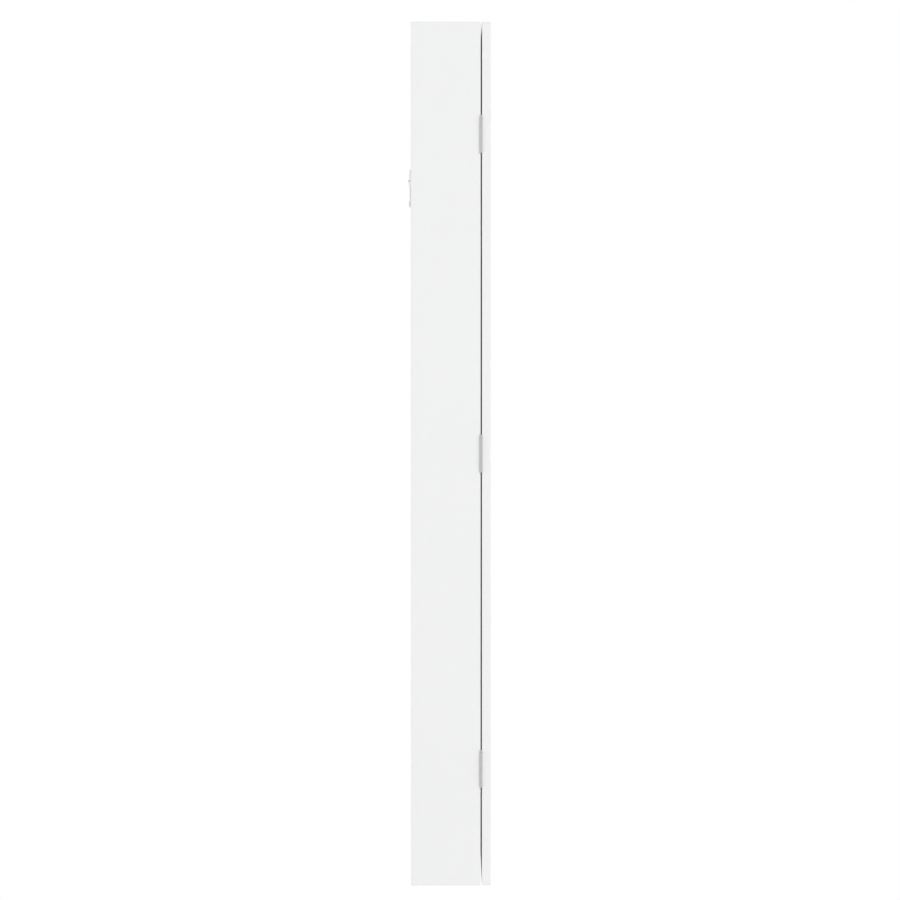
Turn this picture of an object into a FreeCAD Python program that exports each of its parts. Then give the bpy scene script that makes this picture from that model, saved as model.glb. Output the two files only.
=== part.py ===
import FreeCAD, Part
import math
import os
import re
import Sketcher

# A slim wall-hung jewellery cabinet behind a mirror door, in millimetres.
# The hinge side is at -x, the wall at y = 0 with the room towards -y, and z
# points up. The origin is the middle of the body's lower rear edge.

Vector = FreeCAD.Vector
doc = FreeCAD.newDocument("JewelleryCabinet")
sheet = doc.addObject("Spreadsheet::Sheet", "Sizes")

driving = {
    # body
    "cabinet_width": 300,
    "cabinet_height": 900,
    "body_depth": 72.6,
    "panel_thickness": 12,
    "panel_round": 0.4,
    "back_inset": 5,
    "back_thickness": 3,
    "back_groove_depth": 4,
    "board_fit": 0.1,
    "cut_overrun": 1,
    "groove_end_gap": 0.3,
    "lining_thickness": 2,
    "lining_gap": 0.3,
    "tongue_thickness": 3,
    "tongue_width": 50,
    "tongue_in_side": 7,
    "tongue_in_board": 10,
    "tongue_inset": 15,
    "tongue_end_gap": 0.2,
    "peg_fit": 0.03,
    # shelves and what stands on them
    "shelf_thickness": 6,
    "shelf_setback": 23,
    "dado_depth": 3,
    "dado_end_gap": 0.2,
    "bottom_bay_height": 100,
    "small_bay_height": 90,
    "top_bay_height": 172,
    "mat_thickness": 1.5,
    "mat_margin": 1,
    "rail_height": 8,
    "rail_thickness": 3,
    "rail_rise": 18,
    "rail_setback": 1,
    "rail_seat": 2,
    "guard_strip_height": 25,
    # ring cushion, a row of rolls
    "roll_count": 7,
    "roll_pitch": 13.2,
    "roll_depth": 14,
    "roll_crease": 4,
    "cushion_gap": 0.3,
    # necklace hooks
    "hook_rail_height": 22,
    "hook_rise": 1,
    "hook_rail_depth": 10,
    "hook_count": 7,
    "hook_margin": 30,
    "hook_width": 5,
    "hook_sheet": 1.5,
    "hook_plate": 18,
    "hook_reach": 17,
    "hook_bend": 4,
    "hook_upturn": 5,
    # bracelet rod
    "bracelet_rod_diameter": 8,
    "bracelet_rod_drop": 62,
    "bracelet_rod_depth": 32,
    "bracelet_rod_seat": 6,
    # door frame
    "door_thickness": 9.5,
    "door_gap": 1.3,
    "door_end_gap": 0.6,
    "door_member": 28,
    "door_round": 1.2,
    "lip_round": 0.4,
    "glass_thickness": 3,
    "glass_lap": 8,
    "glass_fit": 0.5,
    "door_board_thickness": 2.5,
    "door_board_fit": 0.3,
    "door_lining_thickness": 0.8,
    "key_length": 13,
    "key_thickness": 2.4,
    "key_inset": 3.5,
    "key_cover": 1.8,
    "grip_length": 80,
    "grip_width": 8,
    "grip_depth": 5,
    "grip_round": 3,
    # flat steel tabs that hold the door's back board
    "tab_length": 13,
    "tab_width": 9,
    "tab_thickness": 0.5,
    "tab_in_frame": 6,
    "tab_cover": 1,
    "tab_margin": 90,
    "rail_tab_place": 60,
    "door_lining_margin": 8,
    # earring panel on the door
    "earring_width": 220,
    "earring_height": 120,
    "earring_thickness": 2.5,
    "earring_drop": 118,
    "earring_round": 6,
    "earring_slot": 2.2,
    "earring_slot_width": 5,
    "earring_columns": 12,
    "earring_rows": 4,
    "earring_side_margin": 16,
    "earring_end_margin": 24,
    "batten_width": 8,
    "batten_depth": 9,
    "batten_inset": 3,
    # butt hinges
    "hinge_low": 121.1,
    "hinge_high": 117.7,
    "hinge_mid_offset": 0.3,
    "hinge_length": 36.3,
    "leaf_thickness": 0.8,
    "leaf_width": 10,
    "leaf_round": 1,
    "barrel_radius": 1.6,
    "knuckle_gap": 0.1,
    "knuckle_root": 2.2,
    "knuckle_seam_angle": 20,
    "pin_fit": 0.05,
    "pin_foot": 0.6,
    "pin_head_radius": 1.1,
    "pin_head_height": 3,
    "pin_head_taper": 0.8,
    "hinge_axis_outside": 1.2,
    "hinge_axis_ahead": 0.3,
    "mortise_fit": 0.3,
    # D-ring hangers
    "hanger_drop": 165.2,
    "hanger_width": 7.4,
    "hanger_sheet": 0.6,
    "hanger_taper": 8.8,
    "hanger_length": 27.4,
    "hanger_round": 3,
    "ring_stock": 1.1,
    "ring_fit": 0.05,
    "ring_half_width": 5.15,
    "ring_corner": 1.2,
    "ring_inner_corner": 0.3,
    "ring_height": 11.4,
    "ring_rest_gap": 0.15,
    "hanger_screw_head": 5.7,
    "hanger_screw_head_height": 0.9,
    "hanger_screw_shank": 2.9,
    "hanger_screw_length": 14,
    "hanger_screw_above_end": 4,
    # magnetic catches
    "catch_height": 210,
    "catch_width": 9,
    "catch_depth": 13,
    "catch_length": 26,
    "catch_front_gap": 1,
    "catch_slope": 2,
    "catch_ear": 9,
    "catch_ear_thickness": 2.5,
    "pole_thickness": 1,
    "pole_proud": 2,
    "magnet_thickness": 3,
    "magnet_length": 20,
    "magnet_depth": 9,
    "strike_width": 10,
    "strike_length": 30,
    "strike_thickness": 1.2,
    "strike_gap": 0.2,
    "strike_inset": 1,
    # door bumpers
    "bumper_diameter": 8,
    "bumper_thickness": 1.1,
    "bumper_inset": 30,
}
for row, (name, number) in enumerate(driving.items(), 1):
    sheet.set(f"A{row}", name)
    sheet.set(f"B{row}", str(number))
    sheet.setAlias(f"B{row}", name)
doc.recompute()

# Places that follow from the driving dimensions. Depths are measured from
# the wall towards the room, so a depth is minus y.
worked_out = {
    "half_width": "cabinet_width / 2",
    "inner_half": "half_width - panel_thickness",
    "inner_top": "cabinet_height - panel_thickness",
    "back_front": "back_inset + back_thickness",
    "lining_front": "back_front + lining_thickness",
    "shelf_back": "lining_front + 2 * board_fit",
    "shelf_front": "body_depth - shelf_setback",
    "shelf_one": "panel_thickness + bottom_bay_height",
    "shelf_two": "shelf_one + shelf_thickness + small_bay_height",
    "shelf_three": "shelf_two + shelf_thickness + small_bay_height",
    "shelf_five": "inner_top - top_bay_height - shelf_thickness",
    "shelf_four": "shelf_five - shelf_thickness - roll_count * roll_pitch - 2 * cushion_gap",
    "shelf_half": "inner_half + dado_depth - dado_end_gap",
    "rail_front": "shelf_front - rail_setback",
    "rail_back": "rail_front - rail_thickness",
    "hook_rail_front": "shelf_back + hook_rail_depth",
    "hook_level": "shelf_four - hook_rail_height + hook_rise",
    "hook_pitch": "2 * (inner_half - hook_margin) / (hook_count - 1)",
    "bracelet_level": "inner_top - bracelet_rod_drop",
    "door_back": "body_depth + door_gap",
    "door_front": "door_back + door_thickness",
    "door_bottom": "door_end_gap",
    "door_top": "cabinet_height - door_end_gap",
    "board_back": "door_back + tab_cover + tab_thickness",
    "glass_back": "board_back + door_board_thickness",
    "rabbet_depth": "glass_back + glass_thickness - door_back",
    "rabbet_inset": "door_member - glass_lap",
    "rabbet_side": "half_width - rabbet_inset",
    "board_half": "half_width - rabbet_inset - door_board_fit",
    "board_low": "door_bottom + rabbet_inset + door_board_fit",
    "board_high": "door_top - rabbet_inset - door_board_fit",
    "axis_side": "half_width + hinge_axis_outside",
    "axis_depth": "body_depth + hinge_axis_ahead",
    "leaf_seat": "axis_depth - barrel_radius",
    "door_leaf_seat": "axis_depth + barrel_radius",
    "bore_radius": "barrel_radius - leaf_thickness",
    "pin_radius": "bore_radius - pin_fit",
    "knuckle_length": "(hinge_length - 4 * knuckle_gap) / 5",
    "knuckle_step": "2 * (knuckle_length + knuckle_gap)",
    "mortise_half": "hinge_length / 2 + mortise_fit",
    "loop_bore": "ring_stock * sqrt(2) / 2 + ring_fit",
    "loop_radius": "loop_bore + hanger_sheet",
    "hanger_level": "cabinet_height - hanger_drop",
    "hanger_place": "half_width - panel_thickness / 2",
    "hanger_foot": "hanger_level - hanger_length",
    "catch_front": "body_depth - catch_front_gap",
    "catch_back": "catch_front - catch_depth",
    "catch_inner": "inner_half - catch_width",
    "magnet_middle": "inner_half - catch_width / 2",
    "strike_face": "catch_front + pole_proud + strike_gap",
    "strike_low": "half_width - rabbet_inset + strike_inset",
    "door_lining_face": "board_back - door_lining_thickness",
    "earring_front": "door_lining_face - batten_depth",
    "earring_back": "earring_front - earring_thickness",
    "earring_low": "door_top - earring_drop - earring_height",
}


def formula(words):
    """Write a formula of size names so that it reads them from the sheet."""
    def swap(match):
        word = match.group(0)
        if word in worked_out:
            return "(" + formula(worked_out[word]) + ")"
        return "Sizes." + word if word in driving else word
    return re.sub(r"[a-z_]+", swap, words)


def size(words):
    """The present value of a formula of size names."""
    return float(sheet.evalExpression(formula(words)))


def bind(thing, **properties):
    for name, words in properties.items():
        thing.setExpression(name, formula(words))


def put(thing, x="0", y="0", z="0"):
    for axis, words in (("x", x), ("y", y), ("z", z)):
        thing.setExpression(f"Placement.Base.{axis}", formula(words))


def new_body(label, x="0", y="0", z="0"):
    body = doc.addObject("PartDesign::Body", label)
    body.Label = label
    put(body, x, y, z)
    return body


def new_sketch(body, name, plane, offset="0"):
    """A sketch on one of the body's own planes, moved along its normal.

    XY_Plane looks up, XZ_Plane looks towards the room, YZ_Plane towards +x.
    """
    sketch = body.newObject("Sketcher::SketchObject", name)
    planes = {feature.Role: feature for feature in body.Origin.OriginFeatures}
    sketch.AttachmentSupport = [(planes[plane], "")]
    sketch.MapMode = "FlatFace"
    sketch.setExpression("AttachmentOffset.Base.z", formula(offset))
    return sketch


def hold(sketch, kind, geometry, point, words):
    """Measure a point of a sketch from its origin, bound to the sheet."""
    number = sketch.addConstraint(
        Sketcher.Constraint(kind, -1, 1, geometry, point, size(words))
    )
    name = f"{kind}_{geometry}_{point}"
    sketch.renameConstraint(number, name)
    sketch.setExpression(f"Constraints.{name}", formula(words))


def hold_radius(sketch, geometry, words):
    number = sketch.addConstraint(Sketcher.Constraint("Radius", geometry, size(words)))
    sketch.renameConstraint(number, f"radius_{geometry}")
    sketch.setExpression(f"Constraints.radius_{geometry}", formula(words))


def circle(sketch, x, y, radius):
    middle = Vector(size(x), size(y), 0)
    round_line = Part.Circle(middle, Vector(0, 0, 1), size(radius))
    geometry = sketch.addGeometry(round_line, False)
    hold_radius(sketch, geometry, radius)
    hold(sketch, "DistanceX", geometry, 3, x)
    hold(sketch, "DistanceY", geometry, 3, y)


def arc_between(start, end, radius, turn):
    """An arc that turns left (+1) or right (-1); 2 or -2 is the long way."""
    chord = end - start
    rise = math.sqrt(radius ** 2 - (chord.Length / 2) ** 2)
    left = Vector(-chord.y, chord.x, 0).normalize()
    lean = 1 if turn in (1, -2) else -1
    middle = (start + end) / 2 + left * rise * lean
    first, last = (start, end) if turn > 0 else (end, start)
    angles = [math.atan2(p.y - middle.y, p.x - middle.x) for p in (first, last)]
    ring = Part.Circle(middle, Vector(0, 0, 1), radius)
    return Part.ArcOfCircle(ring, angles[0], angles[1])


def outline(sketch, corners, arcs=None):
    """A closed line through corners; arcs maps a corner's number to the
    (radius, turn) of the arc that leaves it."""
    arcs = arcs or {}
    first = sketch.GeometryCount
    points = [Vector(size(x), size(y), 0) for x, y in corners]
    ends = []
    for number, start in enumerate(points):
        end = points[(number + 1) % len(points)]
        if number in arcs:
            radius, turn = arcs[number]
            edge = arc_between(start, end, size(radius), turn)
            ends.append((1, 2) if turn > 0 else (2, 1))
        else:
            edge = Part.LineSegment(start, end)
            ends.append((1, 2))
        sketch.addGeometry(edge, False)
    for number, (start, end) in enumerate(ends):
        hold(sketch, "DistanceX", first + number, start, corners[number][0])
        hold(sketch, "DistanceY", first + number, start, corners[number][1])
        after = (number + 1) % len(ends)
        sketch.addConstraint(Sketcher.Constraint(
            "Coincident", first + number, end, first + after, ends[after][0]
        ))
    for number, (radius, turn) in arcs.items():
        hold_radius(sketch, first + number, radius)


def rectangle(sketch, x_from, y_from, x_to, y_to):
    outline(sketch, [(x_from, y_from), (x_to, y_from), (x_to, y_to), (x_from, y_to)])


def feature(body, kind, name, profile, reverse=False, axis=None, **lengths):
    """Add a feature that works from a sketch, and check that it did work."""
    before = 0 if body.Shape.isNull() else body.Shape.Volume
    made = body.newObject(f"PartDesign::{kind}", name)
    made.Profile = profile
    if reverse:
        made.Reversed = True
    if axis:
        made.ReferenceAxis = (profile, [axis])
    bind(made, **lengths)
    doc.recompute()
    change = body.Shape.Volume - before
    if change >= 0 if kind == "Pocket" else change <= 0:
        raise ValueError(f"{body.Label} {name} changed nothing")
    return made


def round_edges(body, name, radius, at, kind="Fillet"):
    """Round the edges whose middle passes the test."""
    doc.recompute()
    shape = body.Tip.Shape
    chosen = []
    for number, edge in enumerate(shape.Edges, 1):
        middle = edge.valueAt((edge.FirstParameter + edge.LastParameter) / 2)
        if at(middle):
            chosen.append(f"Edge{number}")
    made = body.newObject(f"PartDesign::{kind}", name)
    made.Base = (made.BaseFeature or body.Tip, chosen)
    bind(made, **{"Radius" if kind == "Fillet" else "Size": radius})
    doc.recompute()
    return made


def close(first, words):
    return abs(first - size(words)) < 0.01


def pattern(body, name, base, axis, extent, copies):
    """Repeat a feature along one of the body's own axes."""
    made = body.newObject("PartDesign::LinearPattern", name)
    made.Originals = [base]
    axes = {item.Role: item for item in body.Origin.OriginFeatures}
    made.Direction = (axes[axis], [""])
    bind(made, Length=extent, Occurrences=copies)
    body.Tip = made
    doc.recompute()
    return made


def copies(label, original, places, turns=None):
    """A group of separate copies of one piece, each at its own place."""
    links = []
    for number, (x, y, z) in enumerate(places):
        link = doc.addObject("App::Link", f"{label}_{number + 1}")
        link.LinkedObject = original
        if turns:
            link.Placement = FreeCAD.Placement(Vector(), turns[number])
        put(link, x, y, z)
        links.append(link)
    group = doc.addObject("Part::Compound", label)
    group.Label = label
    group.Links = links
    return group


parts = []


def keep(piece):
    parts.append(piece)
    return piece


# ---------------------------------------------------------------- body boards

shelf_levels = ["shelf_one", "shelf_two", "shelf_three", "shelf_four", "shelf_five"]
railed_levels = ["shelf_one", "shelf_two", "shelf_three", "shelf_five"]
hinge_levels = [
    "hinge_low",
    "cabinet_height / 2 + hinge_mid_offset",
    "cabinet_height - hinge_high",
]
catch_levels = ["catch_height", "cabinet_height - catch_height"]
end_middles = ["panel_thickness / 2", "cabinet_height - panel_thickness / 2"]
rail_foot = "shelf_thickness + rail_rise"


def side_panel(label, side):
    """A full-height side, grooved for the back and housed for the shelves."""
    outer = f"{side} * half_width"
    inner = f"{side} * inner_half"
    inward = side > 0
    body = new_body(label)
    plan = new_sketch(body, "plan", "XY_Plane")
    rectangle(plan, outer, "-body_depth", inner, "0")
    feature(body, "Pad", "board", plan, Length="cabinet_height")

    def outer_edge(middle):
        end = close(middle.z, "0") or close(middle.z, "cabinet_height")
        return close(middle.x, outer) or (end and close(middle.y, "-body_depth"))
    round_edges(body, "eased_edges", "panel_round", outer_edge, "Chamfer")

    groove = new_sketch(body, "back_groove_line", "YZ_Plane", inner)
    rectangle(
        groove,
        "-(back_inset - board_fit)", "panel_thickness - back_groove_depth",
        "-(back_front + board_fit)", "inner_top + back_groove_depth",
    )
    feature(body, "Pocket", "back_groove", groove, inward, Length="back_groove_depth")

    housings = new_sketch(body, "shelf_housing_lines", "YZ_Plane", inner)
    for level in shelf_levels:
        rectangle(
            housings,
            "-(shelf_back - board_fit)", f"{level} - board_fit",
            "-(shelf_front + board_fit)", f"{level} + shelf_thickness + board_fit",
        )
    feature(body, "Pocket", "shelf_housings", housings, inward, Length="dado_depth")

    seats = new_sketch(body, "guard_seat_lines", "YZ_Plane", inner)
    rectangle(
        seats,
        "-(rail_back - board_fit)", "panel_thickness",
        "-(rail_front + board_fit)", "panel_thickness + guard_strip_height + board_fit",
    )
    for level in railed_levels:
        rectangle(
            seats,
            "-(rail_back - board_fit)", f"{level} + {rail_foot} - board_fit",
            "-(rail_front + board_fit)", f"{level} + {rail_foot} + rail_height + board_fit",
        )
    feature(body, "Pocket", "guard_seats", seats, inward, Length="rail_seat")

    rod_seat = new_sketch(body, "rod_seat_line", "YZ_Plane", inner)
    circle(
        rod_seat, "-bracelet_rod_depth", "bracelet_level",
        "bracelet_rod_diameter / 2 + peg_fit",
    )
    feature(body, "Pocket", "rod_seat", rod_seat, inward, Length="bracelet_rod_seat")

    mortises = new_sketch(body, "tongue_mortise_lines", "YZ_Plane", inner)
    for level in end_middles:
        rectangle(mortises, *tongue_section(level, "board_fit"))
    feature(
        body, "Pocket", "tongue_mortises", mortises, inward,
        Length="tongue_in_side + tongue_end_gap",
    )

    hanger_pilot = new_sketch(body, "hanger_screw_line", "XZ_Plane")
    circle(
        hanger_pilot, f"{side} * hanger_place", "hanger_foot + hanger_screw_above_end",
        "hanger_screw_shank / 2 + peg_fit",
    )
    feature(
        body, "Pocket", "hanger_pilot", hanger_pilot, True, Length="hanger_screw_length"
    )
    return keep(body)


def tongue_section(level, fit):
    """The corners of a tongue, seen from the side, with a fit all round."""
    return (
        f"-(tongue_inset - {fit})", f"{level} - tongue_thickness / 2 - {fit}",
        f"-(tongue_inset + tongue_width + {fit})", f"{level} + tongue_thickness / 2 + {fit}",
    )


hinge_side = side_panel("side_panel_hinge", -1)
side_panel("side_panel_free", 1)

# The hinge side has three mortises in its front edge, open to the outside.
mortises = new_sketch(hinge_side, "hinge_mortise_lines", "XZ_Plane", "body_depth")
for level in hinge_levels:
    rectangle(
        mortises, "-(half_width + cut_overrun)", f"{level} - mortise_half",
        "-(axis_side - leaf_width - mortise_fit)", f"{level} + mortise_half",
    )
feature(hinge_side, "Pocket", "hinge_mortises", mortises, Length="body_depth - leaf_seat")


def end_board(label, bottom, outer_face, inner_face, groove_upwards):
    """The top or bottom board between the sides, with the back's groove."""
    body = new_body(label)
    plan = new_sketch(body, "plan", "XY_Plane", bottom)
    rectangle(plan, "-inner_half", "-body_depth", "inner_half", "0")
    feature(body, "Pad", "board", plan, Length="panel_thickness")
    round_edges(
        body, "eased_edge", "panel_round",
        lambda middle: close(middle.y, "-body_depth") and close(middle.z, outer_face),
        "Chamfer",
    )
    groove = new_sketch(body, "back_groove_line", "XY_Plane", inner_face)
    rectangle(
        groove, "-inner_half", "-(back_inset - board_fit)",
        "inner_half", "-(back_front + board_fit)",
    )
    feature(
        body, "Pocket", "back_groove", groove, groove_upwards, Length="back_groove_depth"
    )
    for way, name in ((-1, "left"), (1, "right")):
        mortise = new_sketch(
            body, f"{name}_tongue_line", "YZ_Plane", f"{way} * inner_half"
        )
        rectangle(mortise, *tongue_section(f"{bottom} + panel_thickness / 2", "board_fit"))
        feature(
            body, "Pocket", f"{name}_tongue_mortise", mortise, way < 0,
            Length="tongue_in_board + tongue_end_gap",
        )
    return keep(body)


end_board("bottom_panel", "0", "0", "panel_thickness", False)
end_board("top_panel", "inner_top", "cabinet_height", "inner_top", True)


def board(label, sketch_plane, offset, corners, thickness):
    """A plain flat board: its outline and its thickness."""
    body = new_body(label)
    face = new_sketch(body, "face", sketch_plane, offset)
    rectangle(face, *corners)
    feature(body, "Pad", "board", face, Length=thickness)
    return body


# Loose tongues join the sides to the end boards.
tongue = board(
    "tongue", "YZ_Plane", "inner_half - tongue_in_board", tongue_section("0", "0"),
    "tongue_in_board + tongue_in_side",
)
tongue_span = "-(2 * inner_half + tongue_in_side - tongue_in_board)"
keep(copies(
    "corner_tongues", tongue,
    [(x, "0", level) for x in ("0", tongue_span) for level in end_middles],
))

back_reach = "(back_groove_depth - groove_end_gap)"
keep(board(
    "back_board", "XZ_Plane", "back_inset",
    (
        f"-(inner_half + {back_reach})", f"panel_thickness - {back_reach}",
        f"inner_half + {back_reach}", f"inner_top + {back_reach}",
    ),
    "back_thickness",
))
keep(board(
    "back_lining", "XZ_Plane", "back_front",
    (
        "-(inner_half - lining_gap)", "panel_thickness + lining_gap",
        "inner_half - lining_gap", "inner_top - lining_gap",
    ),
    "lining_thickness",
))

# Shelves slide into their housings; the front edges are eased.
for number, level in enumerate(shelf_levels, 1):
    shelf = keep(board(
        f"shelf_{number}", "XY_Plane", level,
        ("-shelf_half", "-shelf_front", "shelf_half", "-shelf_back"), "shelf_thickness",
    ))
    round_edges(
        shelf, "eased_front", "panel_round",
        lambda middle: close(middle.y, "-shelf_front") and close(middle.x, "0"),
        "Chamfer",
    )

# A velvet mat lies on the bottom board and on each shelf with a rail.
mat = board(
    "mat", "XY_Plane", "0",
    (
        "-(inner_half - mat_margin)", "-(rail_back - mat_margin)",
        "inner_half - mat_margin", "-(shelf_back + mat_margin)",
    ),
    "mat_thickness",
)
mat_levels = ["panel_thickness"] + [f"{level} + shelf_thickness" for level in railed_levels]
keep(copies("shelf_mats", mat, [("0", "0", level) for level in mat_levels]))

# A rail keeps things on each of those shelves, a clear strip on the bottom.
guard_half = "(inner_half + rail_seat - board_fit)"
guard_rail = board(
    "guard_rail", "XZ_Plane", "rail_back",
    (f"-{guard_half}", rail_foot, guard_half, f"{rail_foot} + rail_height"),
    "rail_thickness",
)
keep(copies("guard_rails", guard_rail, [("0", "0", level) for level in railed_levels]))
keep(board(
    "bottom_guard_strip", "XZ_Plane", "rail_back",
    (
        f"-{guard_half}", "panel_thickness",
        guard_half, "panel_thickness + guard_strip_height",
    ),
    "rail_thickness",
))

# -------------------------------------------------------------- ring cushion

# One upholstered cushion lies against the lining, its front a row of rolls;
# rings are pushed into the creases between them.
cushion = new_body(
    "ring_cushion", "0", "-(lining_front + cushion_gap)",
    "shelf_four + shelf_thickness + cushion_gap",
)
cushion_half = "(inner_half - mat_margin)"
rolls = new_sketch(cushion, "roll_lines", "YZ_Plane", f"-{cushion_half}")
roll_count = int(size("roll_count"))
front = "(roll_crease - roll_depth)"
bulge = "(roll_crease + (roll_pitch / 2) ^ 2 / roll_crease) / 2"
corners = [("0", "0")]
for number in range(roll_count + 1):
    corners.append((front, f"{number} * roll_pitch"))
corners.append(("0", f"{roll_count} * roll_pitch"))
outline(rolls, corners, {number + 1: (bulge, -1) for number in range(roll_count)})
feature(cushion, "Pad", "rolls", rolls, Length=f"2 * {cushion_half}")
keep(cushion)

# ------------------------------------------------------------ necklace hooks

keep(board(
    "hook_rail", "XY_Plane", "shelf_four - hook_rail_height",
    (
        "-(inner_half - lining_gap)", "-hook_rail_front",
        "inner_half - lining_gap", "-shelf_back",
    ),
    "hook_rail_height",
))

# Each hook is a strip of steel, flat against the rail, bent forward at its
# foot and up again at its tip.
hook = new_body("hook")
bent_line = new_sketch(hook, "bent_line", "YZ_Plane", "-hook_width / 2")
outline(
    bent_line,
    [
        ("0", "hook_plate"), ("0", "hook_bend"),
        ("-hook_bend", "0"), ("hook_bend - hook_reach", "0"),
        ("-hook_reach", "hook_bend"), ("-hook_reach", "hook_bend + hook_upturn"),
        ("hook_sheet - hook_reach", "hook_bend + hook_upturn"),
        ("hook_sheet - hook_reach", "hook_bend"), ("hook_bend - hook_reach", "hook_sheet"),
        ("-hook_bend", "hook_sheet"), ("-hook_sheet", "hook_bend"),
        ("-hook_sheet", "hook_plate"),
    ],
    {1: ("hook_bend", -1), 3: ("hook_bend", -1)},
)
feature(hook, "Pad", "bent_strip", bent_line, Length="hook_width")
keep(copies("necklace_hooks", hook, [
    (f"hook_margin - inner_half + hook_pitch * {n}", "-hook_rail_front", "hook_level")
    for n in range(int(size("hook_count")))
]))

# ------------------------------------------------------------- bracelet rod

bracelet_rod = new_body("bracelet_rod")
rod_half = "(inner_half + bracelet_rod_seat - tongue_end_gap)"
rod_line = new_sketch(bracelet_rod, "rod_line", "YZ_Plane", f"-{rod_half}")
circle(rod_line, "-bracelet_rod_depth", "bracelet_level", "bracelet_rod_diameter / 2")
feature(bracelet_rod, "Pad", "rod_length", rod_line, Length=f"2 * {rod_half}")
keep(bracelet_rod)

# --------------------------------------------------------------- door frame

door_middle = "(door_bottom + door_top) / 2"
tab_levels = ["door_bottom + tab_margin", door_middle, "door_top - tab_margin"]
rail_tabs = ["-rail_tab_place", "rail_tab_place"]


def mitred_member(label, corners, outer, inner, rabbet, keys, tab_beds):
    """A frame member cut at 45 degrees, rabbeted behind its front lip."""
    body = new_body(label)
    face = new_sketch(body, "face", "XZ_Plane", "door_back")
    outline(face, corners)
    feature(body, "Pad", "bar", face, Length="door_thickness")
    round_edges(
        body, "rounded_front", "door_round",
        lambda middle: outer(middle) and close(middle.y, "-door_front"),
    )
    round_edges(
        body, "eased_edges", "lip_round",
        lambda middle: inner(middle) and close(middle.y, "-door_front")
        or outer(middle) and close(middle.y, "-door_back"),
        "Chamfer",
    )
    step = new_sketch(body, "rabbet_line", "XZ_Plane", "door_back")
    rectangle(step, *rabbet)
    feature(body, "Pocket", "rabbet", step, True, Length="rabbet_depth")
    slots = new_sketch(body, "key_slot_lines", "XZ_Plane", "door_back + key_cover")
    for x, z in keys:
        rectangle(
            slots, f"{x} - board_fit", f"{z} - board_fit",
            f"{x} + key_length + board_fit", f"{z} + key_length + board_fit",
        )
    feature(body, "Pocket", "key_slots", slots, True, Length="key_thickness")
    beds = new_sketch(body, "tab_bed_lines", "XZ_Plane", "door_back + tab_cover")
    for corners in tab_beds:
        rectangle(beds, *corners)
    feature(body, "Pocket", "tab_beds", beds, True, Length="tab_thickness")
    return keep(body)


def stile(label, side):
    outer = f"{side} * half_width"
    inner = f"{side} * (half_width - door_member)"
    bed_end = f"{side} * (rabbet_side + tab_in_frame)"
    key = f"{side} * (half_width - key_inset - key_length / 2) - key_length / 2"
    return mitred_member(
        label,
        [
            (outer, "door_bottom"), (outer, "door_top"),
            (inner, "door_top - door_member"), (inner, "door_bottom + door_member"),
        ],
        lambda middle: close(middle.x, outer),
        lambda middle: close(middle.x, inner),
        (
            f"{side} * rabbet_side", "door_bottom",
            f"{side} * (half_width - door_member - cut_overrun)", "door_top",
        ),
        [(key, "door_bottom + key_inset"), (key, "door_top - key_inset - key_length")],
        [
            (
                f"{side} * rabbet_side", f"{level} - tab_width / 2 - board_fit",
                bed_end, f"{level} + tab_width / 2 + board_fit",
            )
            for level in tab_levels
        ],
    )


def rail(label, edge, inward):
    inner = f"{edge} + {inward} * door_member"
    step = f"{edge} + {inward} * rabbet_inset"
    key = f"{edge} + {inward} * (key_inset + key_length / 2) - key_length / 2"
    return mitred_member(
        label,
        [
            ("-half_width", edge), ("half_width", edge),
            ("half_width - door_member", inner), ("-(half_width - door_member)", inner),
        ],
        lambda middle: close(middle.z, edge),
        lambda middle: close(middle.z, inner),
        (
            "-half_width", step,
            "half_width", f"{edge} + {inward} * (door_member + cut_overrun)",
        ),
        [("key_inset - half_width", key), ("half_width - key_inset - key_length", key)],
        [
            (
                f"{place} - tab_width / 2 - board_fit", step,
                f"{place} + tab_width / 2 + board_fit",
                f"{edge} + {inward} * (rabbet_inset - tab_in_frame)",
            )
            for place in rail_tabs
        ],
    )


hinge_stile = stile("door_stile_hinge", -1)
free_stile = stile("door_stile_free", 1)
rail("door_rail_bottom", "door_bottom", 1)
rail("door_rail_top", "door_top", -1)

# The hinge stile takes the door leaves in shallow mortises.
mortises = new_sketch(hinge_stile, "hinge_mortise_lines", "XZ_Plane", "door_back")
for level in hinge_levels:
    rectangle(
        mortises, "-(half_width + cut_overrun)", f"{level} - mortise_half",
        "-(axis_side - leaf_width - mortise_fit)", f"{level} + mortise_half",
    )
feature(
    hinge_stile, "Pocket", "hinge_mortises", mortises, True,
    Length="door_leaf_seat - door_back",
)

# The free stile has a finger grip routed in its back edge and a shallow
# bed for each strike plate.
grip_inner = "half_width - grip_width"
grip = new_sketch(free_stile, "grip_line", "XZ_Plane", "door_back")
outline(
    grip,
    [
        ("half_width + cut_overrun", f"{door_middle} - grip_length / 2"),
        ("half_width + cut_overrun", f"{door_middle} + grip_length / 2"),
        (f"{grip_inner} + grip_round", f"{door_middle} + grip_length / 2"),
        (grip_inner, f"{door_middle} + grip_length / 2 - grip_round"),
        (grip_inner, f"{door_middle} - grip_length / 2 + grip_round"),
        (f"{grip_inner} + grip_round", f"{door_middle} - grip_length / 2"),
    ],
    {2: ("grip_round", 1), 4: ("grip_round", 1)},
)
feature(free_stile, "Pocket", "finger_grip", grip, True, Length="grip_depth")
strike_beds = new_sketch(free_stile, "strike_bed_lines", "XZ_Plane", "door_back")
for level in catch_levels:
    rectangle(
        strike_beds,
        "strike_low - board_fit", f"{level} - strike_length / 2 - board_fit",
        "strike_low + strike_width + board_fit", f"{level} + strike_length / 2 + board_fit",
    )
feature(
    free_stile, "Pocket", "strike_beds", strike_beds, True,
    Length="strike_face + strike_thickness - door_back",
)

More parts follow.
